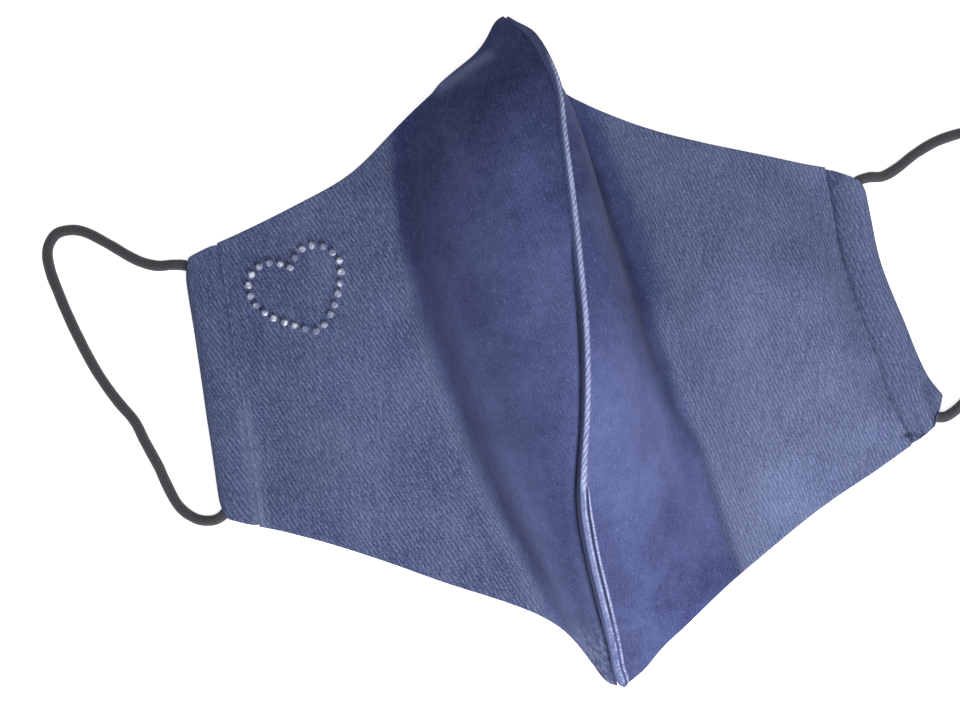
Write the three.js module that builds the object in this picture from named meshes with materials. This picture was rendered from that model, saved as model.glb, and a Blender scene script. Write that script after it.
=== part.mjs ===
// A cloth face mask of two denim halves joined by a curved seam, lying face up with its ear
// loops spread beside it. Millimetres: +X runs from the left side to the right one, +Y from the
// chin to the nose and +Z up. The origin is under the middle of the cloth, on the surface.

import * as THREE from 'three';

// Overall sizes of the cloth as it lies
const MASK_WIDTH = 191.6;
const MASK_LENGTH = 171;
const RIDGE_HEIGHT = 47.5;
const HALF_WIDTH = MASK_WIDTH / 2;
const HALF_LENGTH = MASK_LENGTH / 2;

// Cloth, and the clearance between pieces that touch
const CLOTH_THICKNESS = 1.8;
const TOUCH_GAP = 0.3;

// Seam: a narrow cord-like ridge that opens into two lips towards the chin. The shoulders and the
// crest of its section are shares of half its width and of how far it stands proud.
const SEAM_WIDTH = 2.1;
const SEAM_LIPS_WIDTH = 3.8;
const SEAM_PROUD = 0.7;
const SEAM_GROOVE = 0.66;
const SEAM_SHOULDER = { aside: 0.7, up: 0.8 };
const SEAM_CREST_ASIDE = 0.25;
const SEAM_ALLOWANCE = 2.2;

// Casings: the folded sleeves along the side edges
const CASING_WIDTH = 10;
const CASING_HEIGHT = 5.8;
const CASING_WALL = 1.1;
const BORE_INSET = 3;
const BORE_ROUNDNESS = 0.7;
const STITCHED_EDGE_HEIGHT = 2.8;

// Ear loops
const EAR_CORD_DIAMETER = 2.8;
const EAR_CORD_SIDES = 8;
const EAR_CORD_STEP = 2 * EAR_CORD_DIAMETER;

// Heart of stones on the left half
const STONE_COUNT = 26;
const STONE_DIAMETER = 2;
const STONE_HEIGHT = 0.9;
const STONE_GIRDLE = 0.35;
const STONE_TABLE_SHARE = 0.55;
const STONE_FACETS = 8;
const HEART_WIDTH = 24.9;
const HEART_LENGTH = 21.6;
const HEART_TURN = THREE.MathUtils.degToRad(16);

// Middle of the heart, as shares of half the mask's width and length. The heart's uneven outline
// starts in the cleft and runs clockwise, as shares of half its own width and length.
const HEART_PLACE = { x: -0.691, y: 0.3 };
const HEART_OUTLINE = [
  { x: 0.01, y: 0.66 },
  { x: 0.18, y: 0.83 },
  { x: 0.38, y: 0.95 },
  { x: 0.6, y: 0.94 },
  { x: 0.8, y: 0.81 },
  { x: 0.94, y: 0.6 },
  { x: 1, y: 0.38 },
  { x: 0.96, y: 0.11 },
  { x: 0.78, y: -0.25 },
  { x: 0.5, y: -0.62 },
  { x: 0.22, y: -0.89 },
  { x: 0, y: -1 },
  { x: -0.16, y: -0.89 },
  { x: -0.37, y: -0.69 },
  { x: -0.7, y: -0.32 },
  { x: -0.91, y: 0.02 },
  { x: -1, y: 0.42 },
  { x: -0.95, y: 0.7 },
  { x: -0.8, y: 0.9 },
  { x: -0.6, y: 1 },
  { x: -0.37, y: 0.99 },
  { x: -0.16, y: 0.86 },
];

// Grid of a panel: columns between neighbouring fold lines, and rows from chin to nose, which
// the casings share
const COLUMNS_PER_BAND = 4;
const CLOTH_ROWS = 24;
const SEAM_ROWS = 2 * CLOTH_ROWS;

// Every fold line below runs from the chin edge to the nose edge. Its rows are places as shares:
// x of half the width, y of half the length and z of the ridge's height.
const SEAM_LINE = [
  { x: 0.004, y: -0.998, z: 0.32 },
  { x: -0.003, y: -0.944, z: 0.4 },
  { x: -0.01, y: -0.804, z: 0.558 },
  { x: -0.022, y: -0.676, z: 0.678 },
  { x: -0.034, y: -0.55, z: 0.798 },
  { x: -0.036, y: -0.375, z: 0.937 },
  { x: 0.004, y: -0.131, z: 0.998 },
  { x: 0.026, y: 0.057, z: 1 },
  { x: 0.035, y: 0.221, z: 0.977 },
  { x: 0.044, y: 0.416, z: 0.918 },
  { x: 0.05, y: 0.616, z: 0.838 },
  { x: 0.059, y: 0.76, z: 0.75 },
  { x: 0.045, y: 0.866, z: 0.63 },
  { x: 0.013, y: 0.946, z: 0.5 },
  { x: -0.028, y: 1, z: 0.41 },
];

const LEFT_FOLDS = {
  outer_flank: [
    { x: -0.69, y: -0.478, z: 0.085 },
    { x: -0.7, y: -0.2, z: 0.12 },
    { x: -0.7, y: 0.05, z: 0.125 },
    { x: -0.7, y: 0.3, z: 0.115 },
    { x: -0.69, y: 0.563, z: 0.08 },
  ],
  inner_flank: [
    { x: -0.41, y: -0.636, z: 0.105 },
    { x: -0.46, y: -0.3, z: 0.13 },
    { x: -0.5, y: 0.04, z: 0.12 },
    { x: -0.51, y: 0.36, z: 0.115 },
    { x: -0.52, y: 0.635, z: 0.095 },
  ],
  foot: [
    { x: -0.145, y: -0.8, z: 0.15 },
    { x: -0.2, y: -0.6, z: 0.14 },
    { x: -0.275, y: -0.36, z: 0.13 },
    { x: -0.335, y: -0.09, z: 0.125 },
    { x: -0.375, y: 0.13, z: 0.12 },
    { x: -0.4, y: 0.35, z: 0.12 },
    { x: -0.398, y: 0.54, z: 0.12 },
    { x: -0.389, y: 0.732, z: 0.17 },
  ],
  slope: [
    { x: -0.075, y: -0.918, z: 0.24 },
    { x: -0.14, y: -0.64, z: 0.42 },
    { x: -0.2, y: -0.37, z: 0.57 },
    { x: -0.255, y: 0, z: 0.58 },
    { x: -0.29, y: 0.34, z: 0.52 },
    { x: -0.29, y: 0.6, z: 0.47 },
    { x: -0.2, y: 0.872, z: 0.43 },
  ],
  crown: [
    { x: -0.034, y: -0.985, z: 0.3 },
    { x: -0.083, y: -0.68, z: 0.6 },
    { x: -0.11, y: -0.37, z: 0.86 },
    { x: -0.105, y: 0, z: 0.9 },
    { x: -0.12, y: 0.37, z: 0.87 },
    { x: -0.105, y: 0.7, z: 0.8 },
    { x: -0.098, y: 0.948, z: 0.5 },
  ],
};

const RIGHT_FOLDS = {
  outer_flank: [
    { x: 0.7, y: -0.522, z: 0.085 },
    { x: 0.72, y: -0.25, z: 0.15 },
    { x: 0.7, y: 0.0, z: 0.17 },
    { x: 0.66, y: 0.25, z: 0.145 },
    { x: 0.6, y: 0.513, z: 0.08 },
  ],
  inner_flank: [
    { x: 0.48, y: -0.66, z: 0.11 },
    { x: 0.47, y: -0.36, z: 0.17 },
    { x: 0.42, y: -0.02, z: 0.18 },
    { x: 0.36, y: 0.3, z: 0.16 },
    { x: 0.3, y: 0.642, z: 0.1 },
  ],
  valley: [
    { x: 0.365, y: -0.74, z: 0.115 },
    { x: 0.342, y: -0.58, z: 0.095 },
    { x: 0.318, y: -0.36, z: 0.082 },
    { x: 0.26, y: -0.07, z: 0.075 },
    { x: 0.205, y: 0.22, z: 0.075 },
    { x: 0.155, y: 0.49, z: 0.08 },
    { x: 0.089, y: 0.795, z: 0.11 },
  ],
  slope: [
    { x: 0.21, y: -0.85, z: 0.235 },
    { x: 0.215, y: -0.62, z: 0.31 },
    { x: 0.205, y: -0.35, z: 0.4 },
    { x: 0.185, y: 0, z: 0.41 },
    { x: 0.148, y: 0.34, z: 0.42 },
    { x: 0.118, y: 0.6, z: 0.4 },
    { x: 0.062, y: 0.865, z: 0.21 },
  ],
  crown: [
    { x: 0.08, y: -0.957, z: 0.31 },
    { x: 0.09, y: -0.68, z: 0.53 },
    { x: 0.085, y: -0.37, z: 0.77 },
    { x: 0.107, y: 0, z: 0.81 },
    { x: 0.1, y: 0.37, z: 0.77 },
    { x: 0.092, y: 0.68, z: 0.64 },
    { x: 0.026, y: 0.945, z: 0.325 },
  ],
};

// Side edges, and the stitched lines of their casings, as shares of the same two sizes
const LEFT_SIDE = {
  rim: [{ x: -1, y: -0.276 }, { x: -1, y: 0.06 }, { x: -1, y: 0.377 }],
  stitched: { bottom: -0.386, top: 0.492 },
};
const RIGHT_SIDE = {
  rim: [
    { x: 0.996, y: -0.305 },
    { x: 0.958, y: -0.215 },
    { x: 0.919, y: -0.05 },
    { x: 0.882, y: 0.14 },
    { x: 0.869, y: 0.345 },
  ],
  stitched: { bottom: -0.428, top: 0.446 },
};

// Soft dents and swells of the cloth: place and spread as shares of half the width and of half
// the length, depth as a share of the ridge's height
const LEFT_DENTS = [
  { x: -0.8, y: -0.12, spread: 0.1, depth: -0.03 },
  { x: -0.6, y: -0.36, spread: 0.12, depth: 0.03 },
];
const RIGHT_DENTS = [
  { x: 0.86, y: -0.34, spread: 0.05, depth: 0.06 },
  { x: 0.79, y: -0.4, spread: 0.04, depth: -0.03 },
  { x: 0.55, y: 0.1, spread: 0.16, depth: 0.02 },
];

// Routes of the ear cords' middles, in millimetres, from the top mouth of a casing to its bottom
// one. Both ends lie inside the sleeve.
const LEFT_ROUTE = [
  [-91.6, 25, 2.9], [-91.6, 29.6, 2.9], [-92.3, 33.7, 2.9], [-94.6, 37, 2.75],
  [-98.5, 38.1, 2.2], [-103.3, 38.6, 1.6], [-108.4, 41, 1.45], [-115.9, 46.9, 1.45],
  [-120.5, 50.1, 1.45], [-124.6, 51.2, 1.45], [-128.4, 50.4, 1.45], [-130.8, 46.8, 1.45],
  [-130.9, 41.5, 1.45], [-129.1, 33.3, 1.45], [-127.2, 26.3, 1.45], [-124.9, 19.2, 1.45],
  [-121.9, 11.6, 1.45], [-118.4, 4.8, 1.45], [-114.9, -0.9, 1.45], [-112.7, -7.2, 1.45],
  [-110.4, -13.6, 1.45], [-108.5, -20, 1.45], [-106.3, -25.2, 1.45], [-102.6, -28.6, 1.6],
  [-98.6, -29.6, 2.2], [-95.4, -28.6, 2.7], [-93.2, -26, 2.85], [-92.1, -22.3, 2.85],
  [-91.6, -17.5, 2.85],
];
const RIGHT_ROUTE = [
  [80.3, 14, 2.9], [79.4, 20, 2.9], [79.2, 25.5, 2.9], [79.4, 30, 2.9], [81.2, 33, 2.75],
  [84.6, 33.8, 2.2], [88.6, 33.6, 1.6], [93, 35.3, 1.45], [98.4, 38.4, 1.45],
  [104.8, 40.8, 1.45], [112.6, 41.8, 1.45], [120, 40.4, 1.45], [126, 36, 1.45],
  [129, 29, 1.45], [129.4, 20, 1.45], [127.8, 9.5, 1.45], [124.4, -1.2, 1.45],
  [119, -11.6, 1.45], [112.4, -19.6, 1.45], [105.6, -25, 1.45], [101.2, -28, 1.6],
  [97.8, -30.1, 2.2], [95, -31.1, 2.75], [92.4, -30.4, 2.9], [90.7, -27.8, 2.9],
  [89.6, -24, 2.9], [88.5, -19.8, 2.9], [87.2, -15.2, 2.9],
];

// Section of a casing, as shares of its width from the stitched line and of its height. The bore
// is the way of the elastic, inset by the wall where the two run side by side.
const CASING_SECTION = [
  { across: 0, up: 0 },
  { across: 0.3, up: 0 },
  { across: 0.62, up: 0 },
  { across: 0.9, up: 0.03 },
  { across: 0.98, up: 0.24 },
  { across: 1, up: 0.48 },
  { across: 0.97, up: 0.74 },
  { across: 0.87, up: 0.93 },
  { across: 0.68, up: 1 },
  { across: 0.45, up: 0.97 },
  { across: 0.22, up: 0.78 },
  { across: 0, up: STITCHED_EDGE_HEIGHT / CASING_HEIGHT },
];

const denim = (name, color) =>
  new THREE.MeshStandardMaterial({ name, color, roughness: 0.95, metalness: 0 });
const FINISHES = {
  denim: () => denim('denim', 0x5a648f),
  seam: () => denim('seam', 0x8f98b8),
  elastic: () =>
    new THREE.MeshStandardMaterial({ name: 'elastic', color: 0x2c2c31, roughness: 0.9, metalness: 0 }),
  stone: () =>
    new THREE.MeshStandardMaterial({ name: 'stone', color: 0xe8eef6, roughness: 0.05, metalness: 0 }),
};

const place = ({ x, y, z }) =>
  new THREE.Vector3(x * HALF_WIDTH, y * HALF_LENGTH, z * RIDGE_HEIGHT);

const smoothCurve = (points) => new THREE.CatmullRomCurve3(points, false, 'centripetal');

// Middle of the seam's top, and a straight-ahead direction along it
const seamCurve = smoothCurve(SEAM_LINE.map(place));

// Half the width of the seam at a share of its length: the lips close at the kink
const LIPS_END = 0.33;
const LIPS_FADE = 0.06;
function lipsShare(along) {
  return 1 - THREE.MathUtils.smoothstep(along, LIPS_END - LIPS_FADE, LIPS_END + LIPS_FADE);
}
function seamHalfWidth(along) {
  return THREE.MathUtils.lerp(SEAM_WIDTH, SEAM_LIPS_WIDTH, lipsShare(along)) / 2;
}

// A casing's two long lines: the rim at the outside and the stitched line that meets the panel
function sideLines(side, outward) {
  const rim = smoothCurve(side.rim.map(({ x, y }) => place({ x, y, z: 0 })));
  const [low, high] = [rim.getPointAt(0), rim.getPointAt(1)];
  const stitchedPoint = (along) => {
    const point = rim.getPointAt(along);
    point.x -= outward * CASING_WIDTH;
    const share = THREE.MathUtils.inverseLerp(low.y, high.y, point.y);
    point.y = HALF_LENGTH * THREE.MathUtils.lerp(side.stitched.bottom, side.stitched.top, share);
    return point;
  };
  return { rim, stitchedPoint };
}
const leftSide = sideLines(LEFT_SIDE, -1);
const rightSide = sideLines(RIGHT_SIDE, 1);

// Lift of the cloth by its dents at a place
function dentLift(dents, point) {
  let lift = 0;
  for (const dent of dents) {
    const dx = point.x / HALF_WIDTH - dent.x;
    const dy = point.y / HALF_LENGTH - dent.y;
    lift += dent.depth * Math.exp(-(dx * dx + dy * dy) / (2 * dent.spread * dent.spread));
  }
  return lift * RIDGE_HEIGHT;
}

// The outer face of one half: a function from a row's share and a column to a point
function panelSurface(folds, side, outward, dents) {
  const lines = Object.values(folds).map((rows) => smoothCurve(rows.map(place)));
  const bands = lines.length + 1;
  const sectionAt = (along) => {
    const edge = side.stitchedPoint(along);
    edge.x -= outward * TOUCH_GAP;
    edge.z = STITCHED_EDGE_HEIGHT;
    const middle = lines.map((line) => line.getPointAt(along));
    return smoothCurve([edge, ...middle, seamCurve.getPointAt(along)]);
  };
  const pointOn = (section, across) => {
    const point = section.getPoint(across);
    point.z += dentLift(dents, point);
    return point;
  };
  return { bands, sectionAt, pointOn };
}
const leftSurface = panelSurface(LEFT_FOLDS, leftSide, -1, LEFT_DENTS);
const rightSurface = panelSurface(RIGHT_FOLDS, rightSide, 1, RIGHT_DENTS);

// Directions at the seam: into each half, square to the seam, and out between the halves. The
// inward one is taken a short way down the section.
const INWARD_STEP = 0.02;
function seamFrame(along) {
  const point = seamCurve.getPointAt(along);
  const ahead = seamCurve.getTangentAt(along);
  const into = (surface) => {
    const section = surface.sectionAt(along);
    const inward = section.getPoint(1 - INWARD_STEP).sub(point);
    return inward.addScaledVector(ahead, -inward.dot(ahead)).normalize();
  };
  const left = into(leftSurface);
  const right = into(rightSurface);
  const out = left.clone().add(right).negate().normalize();
  const halfAngle = left.angleTo(right) / 2;
  const sideways = new THREE.Vector3().crossVectors(ahead, out).normalize();
  return { point, left, right, out, sideways, halfAngle };
}

// One closed skin over rings of points, all rings of one length, closed at both ends by strips
// between the ring's first half and its second
function loft(rings) {
  const count = rings[0].length;
  const positions = rings.flat().flatMap((point) => point.toArray());
  const index = [];
  const quad = (a, b, c, d) => index.push(a, b, c, a, c, d);
  for (let row = 0; row + 1 < rings.length; row++) {
    for (let i = 0; i < count; i++) {
      const next = (i + 1) % count;
      quad(row * count + i, row * count + next, (row + 1) * count + next, (row + 1) * count + i);
    }
  }
  const last = (rings.length - 1) * count;
  for (let i = 0; i + 1 < count / 2; i++) {
    const far = count - 1 - i;
    quad(i + 1, i, far, far - 1);
    quad(last + i, last + i + 1, last + far - 1, last + far);
  }
  return closedGeometry(positions, index);
}

// A sleeve: an outer and a bore skin over matching rings, closed by a rim at each end
function sleeve(outerRings, boreRings) {
  const count = outerRings[0].length;
  const rows = outerRings.length;
  const positions = [...outerRings, ...boreRings].flat().flatMap((point) => point.toArray());
  const bore = rows * count;
  const index = [];
  const quad = (a, b, c, d) => index.push(a, b, c, a, c, d);
  for (let i = 0; i < count; i++) {
    const next = (i + 1) % count;
    for (let row = 0; row + 1 < rows; row++) {
      const here = row * count;
      const above = here + count;
      quad(here + i, here + next, above + next, above + i);
      quad(bore + here + next, bore + here + i, bore + above + i, bore + above + next);
    }
    const end = (rows - 1) * count;
    quad(i, bore + i, bore + next, next);
    quad(end + i, end + next, bore + end + next, bore + end + i);
  }
  return closedGeometry(positions, index);
}

// Geometry with its faces turned out, whichever way the rings ran
function closedGeometry(positions, index) {
  const corner = (i) => new THREE.Vector3().fromArray(positions, 3 * index[i]);
  let volume = 0;
  for (let i = 0; i < index.length; i += 3) {
    volume += corner(i).dot(corner(i + 1).cross(corner(i + 2)));
  }
  if (volume < 0) {
    index.reverse();
  }
  const geometry = new THREE.BufferGeometry();
  geometry.setAttribute('position', new THREE.Float32BufferAttribute(positions, 3));
  geometry.setIndex(index);
  geometry.computeVertexNormals();
  return geometry;
}

// The grid of a half's outer face, its last column cut back beside the seam
const SHORT_STEP = 1e-3;
function outerGrid(surface, intoSide) {
  const columns = COLUMNS_PER_BAND * surface.bands;
  const grid = [];
  for (let row = 0; row <= CLOTH_ROWS; row++) {
    const along = row / CLOTH_ROWS;
    const section = surface.sectionAt(along);
    const frame = seamFrame(along);
    const cutBack = (seamHalfWidth(along) + TOUCH_GAP) / Math.sin(frame.halfAngle);
    const reach = section.getPoint(1 - SHORT_STEP).distanceTo(frame.point) / SHORT_STEP;
    const shortened = 1 - cutBack / reach;
    const points = [];
    for (let column = 0; column < columns; column++) {
      points.push(surface.pointOn(section, (shortened * column) / columns));
    }
    points.push(frame.point.clone().addScaledVector(frame[intoSide], cutBack));
    grid.push({ points, frame });
  }
  return grid;
}

// Unit normals of a grid, pointing up out of the cloth, and straight up beside the casing
const UP = new THREE.Vector3(0, 0, 1);
function gridNormals(grid, upward) {
  const at = (row, column) => {
    const points = grid[THREE.MathUtils.clamp(row, 0, grid.length - 1)].points;
    return points[THREE.MathUtils.clamp(column, 0, points.length - 1)];
  };
  return grid.map(({ points }, row) =>
    points.map((_, column) => {
      if (column === 0) {
        return UP.clone();
      }
      const across = at(row, column + 1).clone().sub(at(row, column - 1));
      const ahead = at(row + 1, column).clone().sub(at(row - 1, column));
      return across.cross(ahead).multiplyScalar(upward).normalize();
    }),
  );
}

// One half as a wall: the outer face, and an inner one a cloth's thickness below it. Beside the
// seam the wall's end runs along the line that halves the angle between the halves.
function panelGeometry(surface, intoSide, upward) {
  const grid = outerGrid(surface, intoSide);
  const normals = gridNormals(grid, upward);
  const rings = grid.map(({ points, frame }, row) => {
    const inner = points.map((point, column) => {
      if (column === points.length - 1) {
        return point.clone().addScaledVector(frame.out, -CLOTH_THICKNESS / Math.sin(frame.halfAngle));
      }
      return point.clone().addScaledVector(normals[row][column], -CLOTH_THICKNESS);
    });
    return [...points, ...inner.reverse()];
  });
  return { geometry: loft(rings), grid, normals };
}

// The seam: a rounded ridge on a narrow web between the halves, grooved where the lips part
function seamGeometry() {
  const rings = [];
  for (let row = 0; row <= SEAM_ROWS; row++) {
    const along = row / SEAM_ROWS;
    const { point, out, sideways, halfAngle } = seamFrame(along);
    const half = seamHalfWidth(along);
    const groove = SEAM_GROOVE * lipsShare(along);
    const depth = CLOTH_THICKNESS / Math.sin(halfAngle) + SEAM_ALLOWANCE;
    const shoulder = [SEAM_SHOULDER.aside * half, SEAM_SHOULDER.up * SEAM_PROUD];
    const crest = [SEAM_CREST_ASIDE * half, SEAM_PROUD - groove];
    const section = [
      [-half, -depth],
      [-half, 0],
      [-shoulder[0], shoulder[1]],
      [-crest[0], crest[1]],
      crest,
      shoulder,
      [half, 0],
      [half, -depth],
    ];
    rings.push(
      section.map(([aside, up]) =>
        point.clone().addScaledVector(sideways, aside).addScaledVector(out, up),
      ),
    );
  }
  return loft(rings);
}

// The bore's corners lie one wall inside the section, drawn in towards its middle
function boreSection() {
  const low = CASING_WALL;
  const high = CASING_HEIGHT - CASING_WALL;
  const near = BORE_INSET;
  const far = CASING_WIDTH - CASING_WALL;
  const middle = new THREE.Vector2((near + far) / 2, (low + high) / 2);
  const reach = new THREE.Vector2((far - near) / 2, (high - low) / 2);
  return CASING_SECTION.map(({ across, up }) => {
    const offset = new THREE.Vector2(across * CASING_WIDTH, up * CASING_HEIGHT).sub(middle);
    const turn = Math.atan2(offset.y / reach.y, offset.x / reach.x);
    const squared = (wave) => Math.sign(wave) * Math.abs(wave) ** BORE_ROUNDNESS;
    return {
      across: middle.x + reach.x * squared(Math.cos(turn)),
      up: middle.y + reach.y * squared(Math.sin(turn)),
    };
  });
}

function casingGeometry(side) {
  const outer = CASING_SECTION.map(({ across, up }) => ({
    across: across * CASING_WIDTH,
    up: up * CASING_HEIGHT,
  }));
  const ringAt = (section, along) => {
    const inner = side.stitchedPoint(along);
    const rim = side.rim.getPointAt(along);
    return section.map(({ across, up }) => {
      const point = inner.clone().lerp(rim, across / CASING_WIDTH);
      point.z = up;
      return point;
    });
  };
  const rows = Array.from({ length: CLOTH_ROWS + 1 }, (_, row) => row / CLOTH_ROWS);
  const bore = boreSection();
  return sleeve(rows.map((along) => ringAt(outer, along)), rows.map((along) => ringAt(bore, along)));
}

function cordGeometry(route) {
  const path = smoothCurve(route.map((point) => new THREE.Vector3(...point)));
  const section = new THREE.Shape();
  for (let side = 0; side < EAR_CORD_SIDES; side++) {
    const turn = (2 * Math.PI * side) / EAR_CORD_SIDES;
    const corner = [EAR_CORD_DIAMETER / 2 * Math.cos(turn), EAR_CORD_DIAMETER / 2 * Math.sin(turn)];
    if (side === 0) {
      section.moveTo(...corner);
    } else {
      section.lineTo(...corner);
    }
  }
  return new THREE.ExtrudeGeometry(section, {
    steps: Math.round(path.getLength() / EAR_CORD_STEP),
    bevelEnabled: false,
    extrudePath: path,
  });
}

// Middles of the stones: one in the cleft and the others evenly round the heart's outline
function stonePlaces() {
  const corners = HEART_OUTLINE.map(
    ({ x, y }) => new THREE.Vector3((x * HEART_WIDTH) / 2, (y * HEART_LENGTH) / 2, 0),
  );
  const outline = new THREE.CatmullRomCurve3(corners, true, 'centripetal');
  const centre = new THREE.Vector3(HEART_PLACE.x * HALF_WIDTH, HEART_PLACE.y * HALF_LENGTH, 0);
  return Array.from({ length: STONE_COUNT }, (_, i) =>
    outline.getPointAt(i / STONE_COUNT).applyAxisAngle(UP, HEART_TURN).add(centre),
  );
}

// Height and normal of a grid's facets above a place. A place on the line between two facets
// counts as on both.
const ON_EDGE = -1e-6;
function groundUnder(grid, spot) {
  const triangle = new THREE.Triangle();
  const flat = (point) => new THREE.Vector3(point.x, point.y, 0);
  const weights = new THREE.Vector3();
  const target = new THREE.Vector3(spot.x, spot.y, 0);
  for (let row = 0; row + 1 < grid.length; row++) {
    for (let column = 0; column + 1 < grid[0].points.length; column++) {
      const near = grid[row].points;
      const far = grid[row + 1].points;
      const corners = [near[column], near[column + 1], far[column + 1], far[column]];
      for (const [a, b, c] of [[0, 1, 2], [0, 2, 3]]) {
        const facet = [corners[a], corners[b], corners[c]];
        triangle.set(...facet.map(flat));
        triangle.getBarycoord(target, weights);
        if (Math.min(weights.x, weights.y, weights.z) >= ON_EDGE) {
          const height = facet[0].z * weights.x + facet[1].z * weights.y + facet[2].z * weights.z;
          const normal = new THREE.Triangle(...facet).getNormal(new THREE.Vector3());
          return { height, normal: normal.z < 0 ? normal.negate() : normal };
        }
      }
    }
  }
  throw new Error('a stone lies off the cloth');
}

// A flat-backed stone with a table and a ring of crown facets, its back at the origin
function stoneGeometry() {
  const radius = STONE_DIAMETER / 2;
  const profile = [
    [0, 0],
    [radius, 0],
    [radius, STONE_GIRDLE],
    [radius * STONE_TABLE_SHARE, STONE_HEIGHT],
    [0, STONE_HEIGHT],
  ].map(([x, y]) => new THREE.Vector2(x, y));
  return new THREE.LatheGeometry(profile, STONE_FACETS).rotateX(Math.PI / 2);
}

const mask = new THREE.Group();
function addPiece(name, geometry, material) {
  const mesh = new THREE.Mesh(geometry, material);
  mesh.name = name;
  mask.add(mesh);
  return mesh;
}

const leftPanel = panelGeometry(leftSurface, 'left', 1);
const rightPanel = panelGeometry(rightSurface, 'right', -1);
addPiece('left_panel', leftPanel.geometry, FINISHES.denim());
addPiece('right_panel', rightPanel.geometry, FINISHES.denim());
addPiece('centre_seam', seamGeometry(), FINISHES.seam());
addPiece('left_casing', casingGeometry(leftSide), FINISHES.denim());
addPiece('right_casing', casingGeometry(rightSide), FINISHES.denim());
addPiece('left_ear_loop', cordGeometry(LEFT_ROUTE), FINISHES.elastic());
addPiece('right_ear_loop', cordGeometry(RIGHT_ROUTE), FINISHES.elastic());

stonePlaces().forEach((spot, i) => {
  const { height, normal } = groundUnder(leftPanel.grid, spot);
  const name = `stone_${String(i + 1).padStart(2, '0')}`;
  const stone = addPiece(name, stoneGeometry(), FINISHES.stone());
  stone.position.set(spot.x, spot.y, height).addScaledVector(normal, TOUCH_GAP);
  stone.quaternion.setFromUnitVectors(UP, normal);
});

export default mask;
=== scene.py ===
"""A denim face mask lying face up on a pale table, its ear loops spread beside it."""

import math

import bmesh
import bpy
from mathutils import Matrix, Vector, noise
from mathutils.bvhtree import BVHTree
from mathutils.geometry import interpolate_bezier


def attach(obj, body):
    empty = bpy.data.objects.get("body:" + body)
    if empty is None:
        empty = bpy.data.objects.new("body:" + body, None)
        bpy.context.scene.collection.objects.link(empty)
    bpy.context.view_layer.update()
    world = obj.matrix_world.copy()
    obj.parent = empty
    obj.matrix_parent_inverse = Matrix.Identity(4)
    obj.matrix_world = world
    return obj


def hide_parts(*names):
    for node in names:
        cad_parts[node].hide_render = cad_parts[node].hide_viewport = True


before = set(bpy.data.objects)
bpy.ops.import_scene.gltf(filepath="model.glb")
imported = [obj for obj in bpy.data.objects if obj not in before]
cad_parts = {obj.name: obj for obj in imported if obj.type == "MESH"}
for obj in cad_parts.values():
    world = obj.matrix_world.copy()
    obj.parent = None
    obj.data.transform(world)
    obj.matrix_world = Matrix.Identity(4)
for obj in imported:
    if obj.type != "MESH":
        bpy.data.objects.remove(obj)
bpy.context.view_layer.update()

MM = 0.001

# Camera: straight above the table, in metres. The mask leans to the left in its view.
CAMERA_PLACE = (-0.0229, 0.0016, 0.398)
CAMERA_LEAN = math.radians(8.5)
CAMERA_LENS = 56.7

# Elastic of the ear loops
ELASTIC_DIAMETER = 2.8 * MM
ELASTIC_SIDES = 20
ELASTIC_STEP = 0.4 * MM
ELASTIC_LUMPS = 260
ELASTIC_UNEVEN = 0.1 * MM

# Weave of the denim: the distance between two warp yarns and between two weft yarns. The
# twill's diagonals are a weft step up for each warp step across.
WARP_STEP = 0.27 * MM
WEFT_STEP = 0.53 * MM

# Cloth: how near an edge lies to the piece it is sewn to and how far it goes under it, how sharply
# an edge turns, what counts as lying flat, as facing up and as one corner, and how often the skins
# are refined
CLOTH_THICKNESS = 1.8 * MM
BESIDE = 0.4 * MM
UNDER_SEAM = 0.3 * MM
UNDER_CASING = 0.6 * MM
FOLDED_EDGE = math.radians(70)
CRISP_EDGE = math.radians(60)
HEM_CRISPNESS = 0.6
# How strongly painted shade darkens the cloth where it faces sideways, along its edges
EDGE_SHADE = 0.6
LYING_FLAT = 0.9
FACE_UP_FROM = 3.5 * MM
SAME_CORNER = 0.002 * MM
CLOTH_LEVELS = 3
SEAM_LEVELS = 2

# Casings: where their fold begins, how wide and slanted they are, and the corners of their upper
# cloth, which reach furthest at a share of the width
CASING_CREST = 6.8 * MM
CASING_WIDTH = 10 * MM
CASING_SLANT = 9.5 * MM
UPPER_CLOTH = (2.2 * MM, 4.2 * MM)
CORNER_RUN = 14 * MM
CORNER_TIP = 0.82
CORNER_FALL = 3.3

# The cloth's unevenness: the height of its waves, how closely they lie, and a place in the noise
UNEVENNESS = ((0.32 * MM, 45, 0), (0.1 * MM, 130, 7))

# A crease counts to this many widths from its middle, and fades over this share of its length
CREASE_REACH = 3
CREASE_FADE = 0.15

# Sewing
GROOVE_DEPTH = 0.42 * MM
GROOVE_WIDTH = 0.75 * MM
PUCKER_STEP = 5.4 * MM
PUCKER_HEIGHT = 0.07 * MM
PUCKER_REACH = 3.2 * MM
WORN_BESIDE_STITCHES = 1.8 * MM
STITCH_STEP = 2.7 * MM
STITCH_LENGTH = 2.1 * MM
FIRST_STITCH = 2 * MM
LAST_STITCH = 1 * MM
THREAD_WIDTH = 0.26 * MM
ABOVE_CLOTH = 30 * MM

# The seam's ridge and its strands, and how near to the seam its painted shadow, painted highlight
# and wear are found
STRAND_STEP = 1.45 * MM
STRAND_LEAN = 1.1
STRAND_HEIGHT = 0.1 * MM
BEAD_STEP = 0.8 * MM
RIDGE_SINKS = 0.15 * MM
LONG_EDGE = 0.6 * MM
SEAM_REACH = 8 * MM

# Marks that run along the ridge: how far to the right of its middle they lie, and half their
# width, in millimetres
ROPE = (0.05, 0.66)
LEFT_LIP = (-0.3, 0.65)
LEFT_LIP_EDGE = (0.16, 0.2)
RIGHT_LIP = (1.4, 0.55)
LIP_GROOVE = (0.62, 0.27)
LIFTED_LIP = (0.0, 0.5)
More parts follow.
